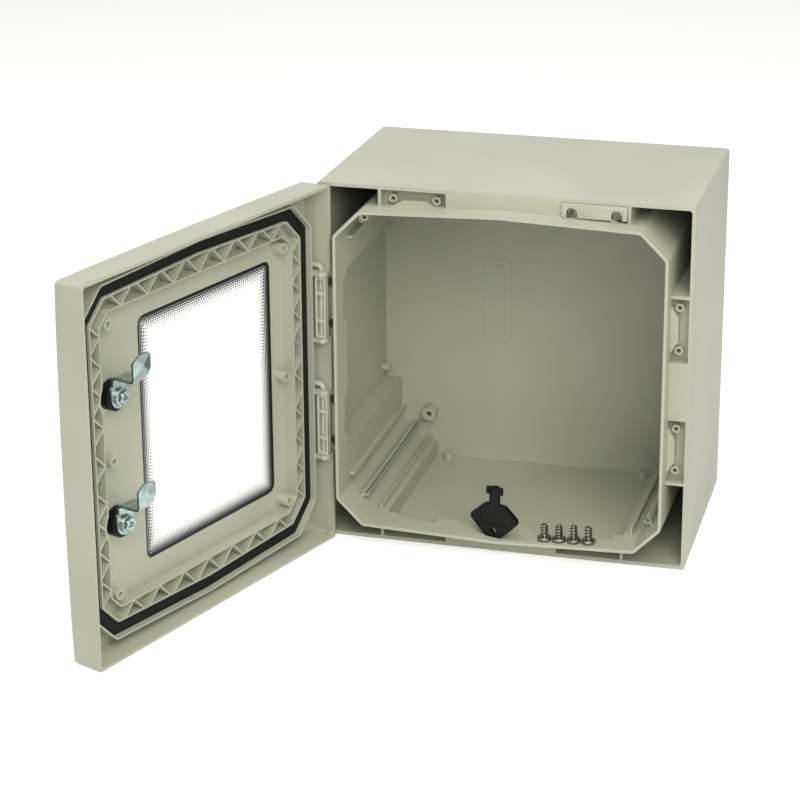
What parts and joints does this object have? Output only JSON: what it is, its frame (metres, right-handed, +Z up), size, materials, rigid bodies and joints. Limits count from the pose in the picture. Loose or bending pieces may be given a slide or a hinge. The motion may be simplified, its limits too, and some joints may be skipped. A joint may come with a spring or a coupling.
{
  "type": "hinged wall enclosure",
  "caption": "Square wall-mounting plastic enclosure with a side-hinged window door, quarter-turn cam locks, a rib-backed door seal, a loose key and loose plate screws.",
  "frame": {"origin": "centre of the four wall-fixing holes, on the flat back face", "axes": "+X to the right seen from the front, +Y into the wall, +Z up; the door's hinge is on the -X side"},
  "size_m": [0.4093, 0.4704, 0.3],
  "materials": {
    "housing_grey": "moulded polycarbonate, fine satin",
    "door_grey": "moulded polycarbonate, fine satin",
    "small_part_grey": "moulded polyamide, satin",
    "black_rubber": "soft foamed seal",
    "black_plastic": "glass-filled polyamide, satin",
    "clear_pane": "clear polycarbonate",
    "zinc_plate": "bright zinc plating",
    "screw_steel": "bright stainless steel",
    "die_cast": "die-cast zinc"
  },
  "bodies": {
    "housing": {"base_housing": "housing_grey", "hinge_block_upper": "small_part_grey", "hinge_block_lower": "small_part_grey", "hinge_block_screws": "screw_steel", "pocket_insert": "small_part_grey", "pocket_insert_screws": "screw_steel"},
    "door": {"door_frame": "door_grey", "door_gasket": "black_rubber", "window_pane": "clear_pane", "window_seal": "black_rubber", "hinge_pin_upper": "small_part_grey", "hinge_pin_lower": "small_part_grey", "lock_body_upper": "black_plastic", "lock_seal_upper": "black_rubber", "lock_nut_upper": "small_part_grey", "lock_body_lower": "black_plastic", "lock_seal_lower": "black_rubber", "lock_nut_lower": "small_part_grey"},
    "upper_lock_rotor": {"lock_spindle_upper": "die_cast", "lock_cam_upper": "zinc_plate", "cam_washer_upper": "screw_steel", "cam_bolt_upper": "screw_steel"},
    "lower_lock_rotor": {"lock_spindle_lower": "die_cast", "lock_cam_lower": "zinc_plate", "cam_washer_lower": "screw_steel", "cam_bolt_lower": "screw_steel"},
    "loose_key": {"key": "black_plastic"},
    "loose_screws": {"plate_screws": "screw_steel"}
  },
  "joints": [
    {"name": "door_hinge", "type": "hinge", "parent": "housing", "child": "door", "pos_m": [-0.1448, -0.1894, 0], "axis": [0, 0, 1], "range_deg": [-8, 108.8]},
    {"name": "upper_lock_turn", "type": "hinge", "parent": "door", "child": "upper_lock_rotor", "pos_m": [-0.22382, -0.42152, 0.05], "axis": [0.9466, -0.3223, 0], "range_deg": [0, 90]},
    {"name": "lower_lock_turn", "type": "hinge", "parent": "door", "child": "lower_lock_rotor", "pos_m": [-0.22382, -0.42152, -0.05], "axis": [0.9466, -0.3223, 0], "range_deg": [0, 90]},
    {"name": "key_lift_off", "type": "slide", "parent": "housing", "child": "loose_key", "axis": [0, 0, 1], "range_m": [0, 0.08]},
    {"name": "screws_lift_off", "type": "slide", "parent": "housing", "child": "loose_screws", "axis": [0, 0, 1], "range_m": [0, 0.08]}
  ]
}
